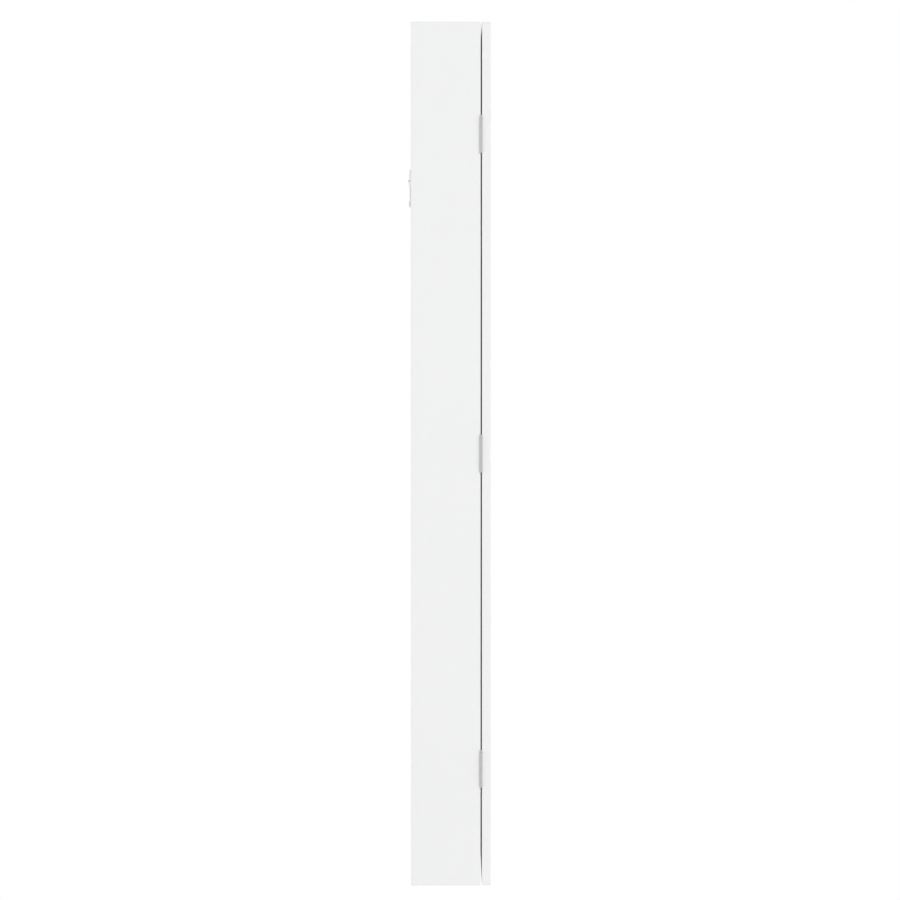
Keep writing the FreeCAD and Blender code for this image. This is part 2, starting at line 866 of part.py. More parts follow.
# Square keys lie across the mitres.
key = board(
    "key", "XZ_Plane", "door_back + key_cover",
    ("0", "0", "key_length", "key_length"), "key_thickness",
)
keep(copies("mitre_keys", key, [
    (x, "0", z)
    for x in ("key_inset - half_width", "half_width - key_inset - key_length")
    for z in ("door_bottom + key_inset", "door_top - key_inset - key_length")
]))

# The glass lies on the lip, the lined back board behind it under the tabs.
keep(board(
    "mirror_glass", "XZ_Plane", "glass_back",
    (
        "-(rabbet_side - glass_fit)", "door_bottom + rabbet_inset + glass_fit",
        "rabbet_side - glass_fit", "door_top - rabbet_inset - glass_fit",
    ),
    "glass_thickness",
))
keep(board(
    "door_back_board", "XZ_Plane", "board_back",
    ("-board_half", "board_low", "board_half", "board_high"), "door_board_thickness",
))
keep(board(
    "door_lining", "XZ_Plane", "door_lining_face",
    (
        "-(board_half - door_lining_margin)", "board_low + door_lining_margin",
        "board_half - door_lining_margin", "board_high - door_lining_margin",
    ),
    "door_lining_thickness",
))
tab = board(
    "tab", "XZ_Plane", "door_back + tab_cover",
    ("tab_in_frame - tab_length", "-tab_width / 2", "tab_in_frame", "tab_width / 2"),
    "tab_thickness",
)
across = Vector(0, 1, 0)
tab_places = []
tab_turns = []
for level in tab_levels:
    tab_places.append(("-rabbet_side", "0", level))
    tab_turns.append(FreeCAD.Rotation(across, 180))
    tab_places.append(("rabbet_side", "0", level))
    tab_turns.append(FreeCAD.Rotation())
for place in rail_tabs:
    tab_places.append((place, "0", "door_bottom + rabbet_inset"))
    tab_turns.append(FreeCAD.Rotation(across, 90))
    tab_places.append((place, "0", "door_top - rabbet_inset"))
    tab_turns.append(FreeCAD.Rotation(across, -90))
keep(copies("back_board_tabs", tab, tab_places, tab_turns))

# ------------------------------------------------------------ earring panel

earring_top = "(earring_low + earring_height)"
earring_panel = keep(board(
    "earring_panel", "XZ_Plane", "earring_back",
    ("-earring_width / 2", "earring_low", "earring_width / 2", earring_top),
    "earring_thickness",
))
round_edges(
    earring_panel, "rounded_corners", "earring_round",
    lambda middle: close(abs(middle.x), "earring_width / 2")
    and (close(middle.z, "earring_low") or close(middle.z, earring_top)),
)
slots = new_sketch(earring_panel, "slot_lines", "XZ_Plane", "earring_back")
row_pitch = "(earring_height - 2 * earring_end_margin) / (earring_rows - 1)"
slot_side = "earring_side_margin - earring_width / 2"
for number in range(int(size("earring_rows"))):
    level = f"earring_low + earring_end_margin + {number} * {row_pitch}"
    rectangle(
        slots, f"{slot_side} - earring_slot_width / 2", f"{level} - earring_slot / 2",
        f"{slot_side} + earring_slot_width / 2", f"{level} + earring_slot / 2",
    )
first_column = feature(
    earring_panel, "Pocket", "first_column", slots, True, Length="earring_thickness"
)
pattern(
    earring_panel, "columns", first_column, "X_Axis",
    "earring_width - 2 * earring_side_margin", "earring_columns",
)
batten = board(
    "batten", "XZ_Plane", "earring_front",
    (
        "-batten_width / 2", "earring_low + batten_inset",
        "batten_width / 2", f"{earring_top} - batten_inset",
    ),
    "batten_depth",
)
batten_side = "earring_width / 2 - batten_inset - batten_width / 2"
keep(copies(
    "panel_battens", batten, [(f"-({batten_side})", "0", "0"), (batten_side, "0", "0")]
))

# ---------------------------------------------------------------- butt hinges


def hinge_leaf(label, level, side, first_knuckle, knuckles):
    """A leaf rolled round the pin from one sheet. side is +1 for the leaf
    on the wall's side of the axis; the roll starts flush with the leaf's
    seat and nearly closes on the leaf again."""
    body = new_body(label, "-axis_side", "-axis_depth", level)
    seat = f"{side} * barrel_radius"
    face = f"{side} * bore_radius"
    plate = new_sketch(body, "plate_line", "XY_Plane", "-hinge_length / 2")
    rectangle(plate, "knuckle_root", seat, "leaf_width", face)
    feature(body, "Pad", "plate", plate, Length="hinge_length")
    round_edges(
        body, "cut_corners", "leaf_round",
        lambda middle: close(middle.x, "leaf_width")
        and close(abs(middle.z), "hinge_length / 2"),
        "Chamfer",
    )
    roll = new_sketch(
        body, "roll_line", "XY_Plane",
        f"{first_knuckle} * (knuckle_length + knuckle_gap) - hinge_length / 2",
    )
    outline(
        roll,
        [
            ("knuckle_root", seat), ("0", seat),
            ("barrel_radius * cos(knuckle_seam_angle)", f"{seat} * sin(knuckle_seam_angle)"),
            ("bore_radius * cos(knuckle_seam_angle)", f"{face} * sin(knuckle_seam_angle)"),
            ("0", face), ("knuckle_root", face),
        ],
        {1: ("barrel_radius", 2 * side), 3: ("bore_radius", -2 * side)},
    )
    knuckle = feature(body, "Pad", "knuckle", roll, Length="knuckle_length")
    pattern(
        body, "knuckles", knuckle, "Z_Axis",
        f"{knuckles - 1} * knuckle_step", str(knuckles),
    )
    return keep(body)


# The pin stands a little below its knuckles and has a pointed head above them.
pin = new_body("pin")
pin_line = new_sketch(pin, "pin_line", "XY_Plane", "-(hinge_length / 2 + pin_foot)")
circle(pin_line, "0", "0", "pin_radius")
feature(
    pin, "Pad", "pin_length", pin_line, Length="hinge_length + pin_foot + knuckle_gap"
)
head_line = new_sketch(pin, "pin_head_line", "XY_Plane", "hinge_length / 2 + knuckle_gap")
circle(head_line, "0", "0", "pin_head_radius")
feature(pin, "Pad", "pin_head", head_line, Length="pin_head_height")
round_edges(
    pin, "pin_tip", "pin_head_taper",
    lambda middle: close(middle.z, "hinge_length / 2 + knuckle_gap + pin_head_height"),
    "Chamfer",
)
for number, level in enumerate(hinge_levels, 1):
    hinge_leaf(f"hinge_leaf_cabinet_{number}", level, 1, 0, 3)
    hinge_leaf(f"hinge_leaf_door_{number}", level, -1, 1, 2)
    keep(copies(f"hinge_pin_{number}", pin, [("-axis_side", "-axis_depth", level)]))

# ------------------------------------------------------------ D-ring hangers


def hanger_strap(label, side):
    """A steel strap folded double round the ring's straight bar."""
    body = new_body(label, f"{side} * hanger_place", "0", "hanger_level")
    fold = new_sketch(body, "fold_line", "YZ_Plane", "-hanger_width / 2")
    outline(
        fold,
        [
            ("0", "-hanger_length"), ("0", "0"),
            ("loop_radius", "loop_radius"), ("2 * loop_radius", "0"),
            ("2 * hanger_sheet", "-hanger_taper"), ("2 * hanger_sheet", "-hanger_length"),
        ],
        {1: ("loop_radius", -1), 2: ("loop_radius", -1)},
    )
    outline(
        fold,
        [
            ("hanger_sheet", "0"), ("loop_radius", "loop_bore"),
            ("loop_radius + loop_bore", "0"), ("hanger_sheet", "-hanger_taper"),
        ],
        {0: ("loop_bore", -1), 1: ("loop_bore", -1)},
    )
    feature(body, "Pad", "folded_sheet", fold, Length="hanger_width")
    round_edges(
        body, "round_foot", "hanger_round",
        lambda middle: close(middle.z, "-hanger_length")
        and close(abs(middle.x), "hanger_width / 2"),
    )
    hole = new_sketch(body, "screw_line", "XZ_Plane", "-2 * hanger_sheet")
    circle(
        hole, "0", "hanger_screw_above_end - hanger_length",
        "hanger_screw_shank / 2 + peg_fit",
    )
    feature(body, "Pocket", "screw_hole", hole, True, Length="2 * hanger_sheet")
    return keep(body)


def hanger_ring(label, side):
    """A D stamped from square stock; it rests leaning on the side's edge.
    Its straight bar turns in the strap's loop."""
    body = new_body(label, f"{side} * hanger_place", "loop_radius", "hanger_level")
    body.Placement.Rotation = FreeCAD.Rotation(Vector(1, 0, 0), 3)
    lean = "asin((loop_radius - ring_stock / 2 - ring_rest_gap) / ring_height)"
    body.setExpression("Placement.Rotation.Angle", formula(lean))
    face = new_sketch(body, "ring_lines", "XZ_Plane", "-ring_stock / 2")
    edges = (("ring_stock / 2", "ring_corner"), ("-ring_stock / 2", "ring_inner_corner"))
    for edge, corner in edges:
        half = f"(ring_half_width + {edge})"
        shoulder = "(ring_height - ring_half_width)"
        outline(
            face,
            [
                (f"{corner} - {half}", f"-({edge})"), (f"{half} - {corner}", f"-({edge})"),
                (half, f"{corner} - ({edge})"), (half, shoulder),
                ("0", f"{shoulder} + {half}"), (f"-{half}", shoulder),
                (f"-{half}", f"{corner} - ({edge})"),
            ],
            {1: (corner, 1), 3: (half, 1), 4: (half, 1), 6: (corner, 1)},
        )
    feature(body, "Pad", "stamping", face, Length="ring_stock")
    return keep(body)


for side, name in ((-1, "left"), (1, "right")):
    hanger_strap(f"hanger_strap_{name}", side)
    hanger_ring(f"hanger_ring_{name}", side)

wall_wards = FreeCAD.Rotation(Vector(1, 0, 0), -90)
hanger_screw = new_body("hanger_screw")
screw_half = new_sketch(hanger_screw, "half_outline", "XZ_Plane")
outline(screw_half, [
    ("0", "-hanger_screw_length"), ("hanger_screw_shank / 2", "-hanger_screw_length"),
    ("hanger_screw_shank / 2", "0"), ("hanger_screw_head / 2", "0"),
    ("hanger_screw_head / 2 - hanger_screw_head_height / 2", "hanger_screw_head_height"),
    ("0", "hanger_screw_head_height"),
])
feature(hanger_screw, "Revolution", "turned", screw_half, axis="V_Axis")
keep(copies(
    "hanger_screws", hanger_screw,
    [
        (f"{side} * hanger_place", "2 * hanger_sheet", "hanger_foot + hanger_screw_above_end")
        for side in (-1, 1)
    ],
    [wall_wards] * 2,
))

# ----------------------------------------------------------- magnetic catches

pocket_half = "(magnet_thickness / 2 + pole_thickness + board_fit)"


def catch_housing(label, level):
    """A moulded case with two ears, open in front for magnet and poles."""
    body = new_body(label, "0", "0", level)
    profile = new_sketch(body, "case_line", "XZ_Plane", "catch_back")
    ear = "inner_half - catch_ear_thickness"
    outline(profile, [
        ("inner_half", "-(catch_length / 2 + catch_ear)"),
        ("inner_half", "catch_length / 2 + catch_ear"),
        (ear, "catch_length / 2 + catch_ear"), (ear, "catch_length / 2"),
        ("catch_inner", "catch_length / 2 - catch_slope"),
        ("catch_inner", "-(catch_length / 2 - catch_slope)"),
        (ear, "-catch_length / 2"), (ear, "-(catch_length / 2 + catch_ear)"),
    ])
    feature(body, "Pad", "case", profile, Length="catch_depth")
    chamber = new_sketch(body, "chamber_line", "XZ_Plane", "catch_front")
    rectangle(
        chamber, f"magnet_middle - {pocket_half}", "-(magnet_length / 2 + board_fit)",
        f"magnet_middle + {pocket_half}", "magnet_length / 2 + board_fit",
    )
    feature(body, "Pocket", "chamber", chamber, Length="magnet_depth + board_fit")
    return keep(body)


for number, level in enumerate(catch_levels, 1):
    catch_housing(f"catch_housing_{number}", level)
magnet = board(
    "magnet", "XZ_Plane", "catch_front - magnet_depth",
    (
        "magnet_middle - magnet_thickness / 2", "-magnet_length / 2",
        "magnet_middle + magnet_thickness / 2", "magnet_length / 2",
    ),
    "magnet_depth - board_fit",
)
keep(copies("catch_magnets", magnet, [("0", "0", level) for level in catch_levels]))
pole = board(
    "pole", "XZ_Plane", "catch_front - magnet_depth",
    (
        "magnet_middle + magnet_thickness / 2", "-magnet_length / 2",
        "magnet_middle + magnet_thickness / 2 + pole_thickness", "magnet_length / 2",
    ),
    "magnet_depth + pole_proud",
)
other_pole = "-(magnet_thickness + pole_thickness)"
keep(copies("catch_pole_plates", pole, [
    (x, "0", level) for x in ("0", other_pole) for level in catch_levels
]))
strike = board(
    "strike", "XZ_Plane", "strike_face",
    (
        "strike_low", "-strike_length / 2",
        "strike_low + strike_width", "strike_length / 2",
    ),
    "strike_thickness",
)
keep(copies("strike_plates", strike, [("0", "0", level) for level in catch_levels]))

# Clear bumpers on the free side's front edge stop the door.
bumper = new_body("bumper")
bumper_line = new_sketch(bumper, "bumper_line", "XZ_Plane", "body_depth")
circle(bumper_line, "0", "0", "bumper_diameter / 2")
feature(bumper, "Pad", "bumper_disc", bumper_line, Length="bumper_thickness")
keep(copies("bumper_pads", bumper, [
    ("half_width - panel_thickness / 2", "0", level)
    for level in ("bumper_inset", "cabinet_height - bumper_inset")
]))

# ------------------------------------------------------------------- writing

doc.recompute()
for thing in doc.Objects:
    if "Invalid" in thing.State or "Error" in thing.State:
        raise ValueError(f"{thing.Label} failed: {thing.State}")
for piece in parts:
    if piece.Shape.isNull() or not piece.Shape.isValid() or not piece.Shape.Solids:
        raise ValueError(f"{piece.Label} has no valid solid")
os.makedirs("parts", exist_ok=True)
for piece in parts:
    piece.Shape.exportStep(f"parts/{piece.Label}.step")
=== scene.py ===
import math
import bmesh
import bpy
from mathutils import Matrix, Vector, noise


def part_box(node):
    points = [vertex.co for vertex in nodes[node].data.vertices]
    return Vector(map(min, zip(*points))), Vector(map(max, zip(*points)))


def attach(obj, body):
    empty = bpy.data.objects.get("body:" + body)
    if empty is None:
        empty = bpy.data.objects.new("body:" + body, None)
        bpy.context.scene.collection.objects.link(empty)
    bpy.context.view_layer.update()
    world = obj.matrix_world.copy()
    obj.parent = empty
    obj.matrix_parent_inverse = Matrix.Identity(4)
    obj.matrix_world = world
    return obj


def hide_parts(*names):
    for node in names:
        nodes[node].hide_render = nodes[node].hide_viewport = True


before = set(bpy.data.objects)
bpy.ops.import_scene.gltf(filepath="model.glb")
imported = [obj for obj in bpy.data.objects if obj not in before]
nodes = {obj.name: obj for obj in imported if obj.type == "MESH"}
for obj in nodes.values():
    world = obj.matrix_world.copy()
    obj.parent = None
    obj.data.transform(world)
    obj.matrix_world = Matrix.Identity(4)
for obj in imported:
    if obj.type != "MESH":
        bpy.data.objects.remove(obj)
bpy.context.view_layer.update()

# ------------------------------------------------------------ foiled boards
# The box is fibreboard wrapped in white furniture foil, grooved and glued at
# the corners. The foil is satin, with a faint pore and a trace of orange peel
# where the board's fibres show through it.

foil_white = (0.875, 0.877, 0.879, 1)


def new_finish(name, colour, **sockets):
    """A material and its shader; the numbers go on the shader's own sockets."""
    made = bpy.data.materials.new(name)
    made.use_nodes = True
    shader = made.node_tree.nodes["Principled BSDF"]
    shader.inputs["Base Color"].default_value = colour
    for socket, value in sockets.items():
        shader.inputs[socket.replace("_", " ")].default_value = value
    return made, shader


def new_group(name, inputs, outputs):
    """An empty shader group; a colour input is given as four numbers."""
    group = bpy.data.node_groups.new(name, "ShaderNodeTree")
    for socket, value in inputs.items():
        kind = "NodeSocketColor" if isinstance(value, tuple) else "NodeSocketFloat"
        made = group.interface.new_socket(socket, in_out="INPUT", socket_type=kind)
        made.default_value = value
    for socket, kind in outputs.items():
        group.interface.new_socket(socket, in_out="OUTPUT", socket_type=f"NodeSocket{kind}")
    return group, group.nodes.new("NodeGroupInput"), group.nodes.new("NodeGroupOutput")


def add(tree, kind, inputs=None, **settings):
    """A node with its settings made and its inputs linked or set."""
    node = tree.nodes.new(f"ShaderNode{kind}")
    for name, value in settings.items():
        setattr(node, name, value)
    for socket, value in (inputs or {}).items():
        if isinstance(value, bpy.types.NodeSocket):
            tree.links.new(value, node.inputs[socket])
        else:
            node.inputs[socket].default_value = value
    return node


def place_group(material, group, **values):
    """The group inside a material, with the material's own values."""
    node = material.node_tree.nodes.new("ShaderNodeGroup")
    node.node_tree = group
    for socket, value in values.items():
        node.inputs[socket.replace("_", " ")].default_value = value
    return node


def spread_tone(material, shader, tone):
    """Feed a cloudy tone to the shader's colour and roughness."""
    material.node_tree.links.new(tone.outputs["Colour"], shader.inputs["Base Color"])
    material.node_tree.links.new(tone.outputs["Roughness"], shader.inputs["Roughness"])


def raise_surface(material, shader, height, strength, distance):
    """Feed a height to the shader's normal."""
    bump = add(
        material.node_tree, "Bump",
        {"Height": height, "Strength": strength, "Distance": distance},
    )
    material.node_tree.links.new(bump.outputs["Normal"], shader.inputs["Normal"])


def dress(material, *names):
    """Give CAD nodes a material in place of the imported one."""
    for name in names:
        slots = nodes[name].data.materials
        slots.clear()
        slots.append(material)


# Cloudy: a colour that drifts a little from place to place, and a matching
# drift of the gloss.
cloudy, fed, given = new_group(
    "Cloudy",
    {"Colour": (0.8, 0.8, 0.8, 1), "Other": (0.7, 0.7, 0.7, 1), "Scale": 20.0,
     "Gloss": 0.4, "Gloss drift": 0.05},
    {"Colour": "Color", "Roughness": "Float"},
)
place = add(cloudy, "TexCoord")
clouds = add(
    cloudy, "TexNoise",
    {"Vector": place.outputs["Object"], "Scale": fed.outputs["Scale"], "Detail": 4.0},
)
tint = add(
    cloudy, "Mix",
    {0: clouds.outputs["Fac"], 6: fed.outputs["Colour"], 7: fed.outputs["Other"]},
    data_type="RGBA",
)
drift = add(
    cloudy, "Math",
    {0: clouds.outputs["Fac"], 1: fed.outputs["Gloss drift"], 2: fed.outputs["Gloss"]},
    operation="MULTIPLY_ADD",
)
cloudy.links.new(tint.outputs[2], given.inputs["Colour"])
cloudy.links.new(drift.outputs[0], given.inputs["Roughness"])

# Grain: the height of a fine all-over texture, coarse and fine together.
grain, fed, given = new_group(
    "Grain", {"Coarse": 300.0, "Fine": 1500.0, "Share of fine": 0.5}, {"Height": "Float"}
)
place = add(grain, "TexCoord")
coarse = add(
    grain, "TexNoise",
    {"Vector": place.outputs["Object"], "Scale": fed.outputs["Coarse"], "Detail": 3.0},
)
fine = add(
    grain, "TexNoise",
    {"Vector": place.outputs["Object"], "Scale": fed.outputs["Fine"], "Detail": 2.0},
)
height = add(
    grain, "Mix",
    {0: fed.outputs["Share of fine"], 2: coarse.outputs["Fac"], 3: fine.outputs["Fac"]},
)
grain.links.new(height.outputs[0], given.inputs["Height"])

foil, foil_shader = new_finish("white foil", foil_white, Specular_IOR_Level=0.45)
tone = place_group(
    foil, cloudy, Colour=foil_white, Other=(0.862, 0.865, 0.868, 1), Scale=9.0,
    Gloss=0.36, Gloss_drift=0.08,
)
spread_tone(foil, foil_shader, tone)
pores = place_group(foil, grain, Coarse=260.0, Fine=1800.0, Share_of_fine=0.35)
raise_surface(foil, foil_shader, pores.outputs["Height"], strength=0.10, distance=0.0002)

dress(foil, "side_panel_hinge", "side_panel_free", "bottom_panel", "top_panel")
dress(foil, "shelf_1", "shelf_2", "shelf_3", "shelf_4", "shelf_5")

# -------------------------------------------------------------- door frame
# Four lengths of the same foiled board, cut at 45 degrees and keyed behind.
# The foil meets in a hairline at each mitre, drawn as painted shade: the colour darkens to
# seam_shade along the joint.

free_low, free_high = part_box("door_stile_free")
hairline = 0.00012
seam_shade = 0.45
frame_foil = foil.copy()
frame_foil.name = "white foil, mitred"
tree = frame_foil.node_tree
place = add(tree, "TexCoord")
axes = add(tree, "SeparateXYZ", {"Vector": place.outputs["Object"]})
across = add(tree, "Math", {0: axes.outputs["X"]}, operation="ABSOLUTE")
from_side = add(tree, "Math", {0: free_high.x, 1: across.outputs[0]}, operation="SUBTRACT")
from_middle = add(
    tree, "Math", {0: axes.outputs["Z"], 1: (free_low.z + free_high.z) / 2},
    operation="SUBTRACT",
)
up_or_down = add(tree, "Math", {0: from_middle.outputs[0]}, operation="ABSOLUTE")
from_end = add(
    tree, "Math", {0: (free_high.z - free_low.z) / 2, 1: up_or_down.outputs[0]},
    operation="SUBTRACT",
)
off_mitre = add(
    tree, "Math", {0: from_side.outputs[0], 1: from_end.outputs[0]}, operation="SUBTRACT"
)
aside = add(tree, "Math", {0: off_mitre.outputs[0]}, operation="ABSOLUTE")
seam = add(
    tree, "MapRange",
    {"Value": aside.outputs[0], "From Min": hairline, "From Max": 2 * hairline,
     "To Min": seam_shade, "To Max": 1.0},
)
frame_shader = tree.nodes["Principled BSDF"]
plain_foil = frame_shader.inputs["Base Color"].links[0].from_socket
# Painted shade of the mitre's hairline gap: the foil colour is scaled down along each mitre.
darker = add(tree, "VectorMath", {0: plain_foil, "Scale": seam.outputs[0]}, operation="SCALE")
tree.links.new(darker.outputs[0], frame_shader.inputs["Base Color"])
dress(
    frame_foil, "door_stile_hinge", "door_stile_free", "door_rail_bottom", "door_rail_top"
)

# ------------------------------------------------------- tongues and keys
# Loose beech tongues in the body's corners and beech keys behind the mitres,
# glued in and hidden once the cabinet is together.

beech = (0.55, 0.36, 0.19, 1)
wood, wood_shader = new_finish("beech", beech, Roughness=0.6)
place = add(wood.node_tree, "TexCoord")
along = add(
    wood.node_tree, "Mapping", {"Vector": place.outputs["Object"], "Scale": (900, 90, 900)}
)
fibres = add(wood.node_tree, "TexNoise", {"Vector": along.outputs[0], "Scale": 1.0, "Detail": 5.0})
streaks = add(wood.node_tree, "ValToRGB", {"Fac": fibres.outputs["Fac"]})
streaks.color_ramp.elements[0].color = (0.42, 0.25, 0.12, 1)
streaks.color_ramp.elements[1].color = beech
wood.node_tree.links.new(streaks.outputs["Color"], wood_shader.inputs["Base Color"])
raise_surface(wood, wood_shader, fibres.outputs["Fac"], strength=0.3, distance=0.0002)
dress(wood, "corner_tongues", "mitre_keys")

# --------------------------------------------------------------- hardboard
# The back board and the board behind the glass are brown hardboard. They carry
# the print of the wire screen they were pressed on, and flecks of darker fibre.

brown = (0.235, 0.128, 0.062, 1)
screen_pitch = 0.0016
hardboard, board_shader = new_finish("hardboard", brown)
board_tone = place_group(
    hardboard, cloudy, Colour=brown, Other=(0.190, 0.101, 0.047, 1), Scale=14.0
)
fibre_tone = place_group(
    hardboard, cloudy, Other=(0.120, 0.060, 0.027, 1), Scale=420.0, Gloss=0.5,
    Gloss_drift=0.25,
)
tree = hardboard.node_tree
tree.links.new(board_tone.outputs["Colour"], fibre_tone.inputs["Colour"])
place = add(tree, "TexCoord")
wires = [
    add(
        tree, "TexWave",
        {"Vector": place.outputs["Object"], "Scale": math.pi / (10 * screen_pitch)},
        bands_direction=way,
    )
    for way in ("X", "Z")
]
crossing = add(
    tree, "Math", {0: wires[0].outputs["Fac"], 1: wires[1].outputs["Fac"]}, operation="MULTIPLY"
)
spread_tone(hardboard, board_shader, fibre_tone)
raise_surface(hardboard, board_shader, crossing.outputs[0], strength=0.5, distance=0.0002)
dress(hardboard, "back_board", "door_back_board")

# ------------------------------------------------------------ velvet pieces
# Charcoal velvet over card lines the back and the door, and thin mats of it
# lie on the bottom and the railed shelves. The pile lies this way and that, so
# it catches the light in soft patches. Those patches are painted sheen: the
# base colour drifts to lighter blotches, on top of the shader's own sheen.

charcoal = (0.021, 0.021, 0.024, 1)
velvet, velvet_shader = new_finish(
    "charcoal velvet", charcoal, Roughness=0.95, Specular_IOR_Level=0.1,
    Sheen_Weight=0.55, Sheen_Roughness=0.35, Sheen_Tint=(0.72, 0.73, 0.78, 1),
)
# Painted sheen: lighter patches in the base colour where the pile would catch the light.
painted_sheen_patches = place_group(
    velvet, cloudy, Colour=charcoal, Other=(0.040, 0.040, 0.044, 1), Scale=38.0
)
pile = place_group(velvet, grain, Coarse=900.0, Fine=4200.0, Share_of_fine=0.6)
velvet.node_tree.links.new(painted_sheen_patches.outputs["Colour"], velvet_shader.inputs["Base Color"])
raise_surface(velvet, velvet_shader, pile.outputs["Height"], strength=0.5, distance=0.0004)


def new_piece(name, bm, material, body):
    """Close a bmesh into a piece that rides on a body."""
    bmesh.ops.remove_doubles(bm, verts=bm.verts, dist=1e-6)
    bmesh.ops.recalc_face_normals(bm, faces=bm.faces)
    mesh = bpy.data.meshes.new(name)
    bm.to_mesh(mesh)
    bm.free()
    mesh.materials.append(material)
    piece = bpy.data.objects.new(name, mesh)
    bpy.context.scene.collection.objects.link(piece)
    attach(piece, body)
    return piece


def soft_block(bm, low, high, edge):
    """A block whose edges roll over, between two corners."""
    block = bmesh.ops.create_cube(bm, size=1)["verts"]
    bmesh.ops.scale(bm, vec=high - low, verts=block)
    bmesh.ops.translate(bm, vec=(low + high) / 2, verts=block)
    edges = {line for vert in block for line in vert.link_edges}
    bmesh.ops.bevel(
        bm, geom=list(edges), offset=edge, segments=3, profile=0.5,
        affect="EDGES", material=-1,
    )


for name, body, edge in (
    ("back_lining", "cabinet", 0.0008), ("door_lining", "door", 0.00035)
):
    low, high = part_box(name)
    bm = bmesh.new()
    soft_block(bm, low, high, edge)
    lining = new_piece(f"velvet_{name}", bm, velvet, body)
    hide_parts(name)

mat_thickness = 0.0015
mat_edge = 0.0005
mats_low, mats_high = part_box("shelf_mats")
mat_levels = [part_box("bottom_panel")[1].z]
mat_levels += [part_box(f"shelf_{number}")[1].z for number in (1, 2, 3, 5)]
for number, level in enumerate(mat_levels, 1):
    bm = bmesh.new()
    soft_block(
        bm, Vector((mats_low.x, mats_low.y, level)),
        Vector((mats_high.x, mats_high.y, level + mat_thickness)), mat_edge,
    )
    mat = new_piece(f"velvet_mat_{number}", bm, velvet, "cabinet")
    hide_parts("shelf_mats")

# ------------------------------------------------------------- ring cushion
# Foam rolls in velvet, laid side by side on a padded card. Rings are pushed
# between them, so the creases run deep and the rolls' skins wander a little.

roll_count = 7
crease = 0.00003
end_round = 0.0028
card_edge = 0.0012
wander = 0.00018
low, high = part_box("ring_cushion")
pitch = (high.z - low.z) / roll_count
depth_middle = (low.y + high.y) / 2
bm = bmesh.new()
for number in range(roll_count):
    roll = bmesh.ops.create_cone(
        bm, cap_ends=True, segments=28, radius1=0.5, radius2=0.5, depth=1
    )["verts"]
    bmesh.ops.rotate(bm, matrix=Matrix.Rotation(math.pi / 2, 3, "Y"), verts=roll)
    bmesh.ops.scale(bm, vec=(high.x - low.x, high.y - low.y, pitch - crease), verts=roll)
    roll_middle = Vector(((low.x + high.x) / 2, depth_middle, low.z + pitch * (number + 0.5)))
    bmesh.ops.translate(bm, vec=roll_middle, verts=roll)
rims = [line for line in bm.edges if abs(line.verts[0].co.x - line.verts[1].co.x) < 1e-6]
bmesh.ops.bevel(
    bm, geom=rims, offset=end_round, segments=4, profile=0.5, affect="EDGES", material=-1
)
long_lines = [line for line in bm.edges if line.calc_length() > (high.x - low.x) / 2]
bmesh.ops.subdivide_edges(bm, edges=long_lines, cuts=70, use_grid_fill=True)
for vert in bm.verts:
    if vert.co.y < depth_middle:
        hollow = noise.noise(vert.co * 90) + noise.noise(vert.co * 300) / 2
        vert.co.y -= wander * hollow
soft_block(bm, Vector((low.x, depth_middle, low.z)), high, card_edge)
cushion = new_piece("ring_cushion_rolls", bm, velvet, "cabinet")
for face in cushion.data.polygons:
    face.use_smooth = True
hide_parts("ring_cushion")

# ------------------------------------------------------- lacquered fittings
# The guard rails, the hook rail and the battens of the earring panel are
# small sections of wood in white spray lacquer, a touch glossier than foil.

lacquer_white = (0.84, 0.84, 0.83, 1)
lacquer, lacquer_shader = new_finish("white lacquer", lacquer_white, Coat_Weight=0.25)
sprayed = place_group(
    lacquer, cloudy, Colour=lacquer_white, Other=(0.80, 0.80, 0.79, 1), Scale=60.0,
    Gloss=0.24, Gloss_drift=0.12,
)
peel = place_group(lacquer, grain, Coarse=500.0, Fine=2500.0, Share_of_fine=0.2)
spread_tone(lacquer, lacquer_shader, sprayed)
raise_surface(lacquer, lacquer_shader, peel.outputs["Height"], strength=0.12, distance=0.0002)
dress(lacquer, "guard_rails", "hook_rail", "panel_battens")

# -------------------------------------------------------------- clear strip
# A strip of polished clear acrylic keeps bottles on the bottom board. Fingers
# leave a trace of haze on it.

acrylic, acrylic_shader = new_finish(
    "clear acrylic", (0.96, 0.98, 0.985, 1), Transmission_Weight=1.0, IOR=1.49
)
polish = place_group(acrylic, cloudy, Scale=30.0, Gloss=0.01, Gloss_drift=0.05)
acrylic.node_tree.links.new(polish.outputs["Roughness"], acrylic_shader.inputs["Roughness"])
dress(acrylic, "bottom_guard_strip")

# ------------------------------------------------------------- mirror glass
# Float glass silvered on its back, held by the frame's lip. The glass gives
# the silver a hint of green, and wiping leaves the faintest haze.

silver_green = (0.90, 0.93, 0.92, 1)
mirror, mirror_shader = new_finish(
    "silvered glass", silver_green, Metallic=1.0, Coat_Weight=1.0, Coat_Roughness=0.0
)
wiped = place_group(
    mirror, cloudy, Colour=silver_green, Other=(0.88, 0.92, 0.905, 1), Scale=12.0,
    Gloss=0.0, Gloss_drift=0.03,
)
spread_tone(mirror, mirror_shader, wiped)
dress(mirror, "mirror_glass")

# ----------------------------------------------------------- white mouldings
# The earring panel and the cases of the magnetic catches are injection
# moulded in white plastic, with a fine spark-eroded skin.

plastic_white = (0.82, 0.82, 0.81, 1)
plastic, plastic_shader = new_finish("white plastic", plastic_white)
moulded = place_group(
    plastic, cloudy, Colour=plastic_white, Other=(0.79, 0.79, 0.78, 1), Scale=80.0,
    Gloss=0.38, Gloss_drift=0.10,
)
skin = place_group(plastic, grain, Coarse=1200.0, Fine=5000.0, Share_of_fine=0.5)
spread_tone(plastic, plastic_shader, moulded)
raise_surface(plastic, plastic_shader, skin.outputs["Height"], strength=0.2, distance=0.0001)
dress(plastic, "earring_panel", "catch_housing_1", "catch_housing_2")

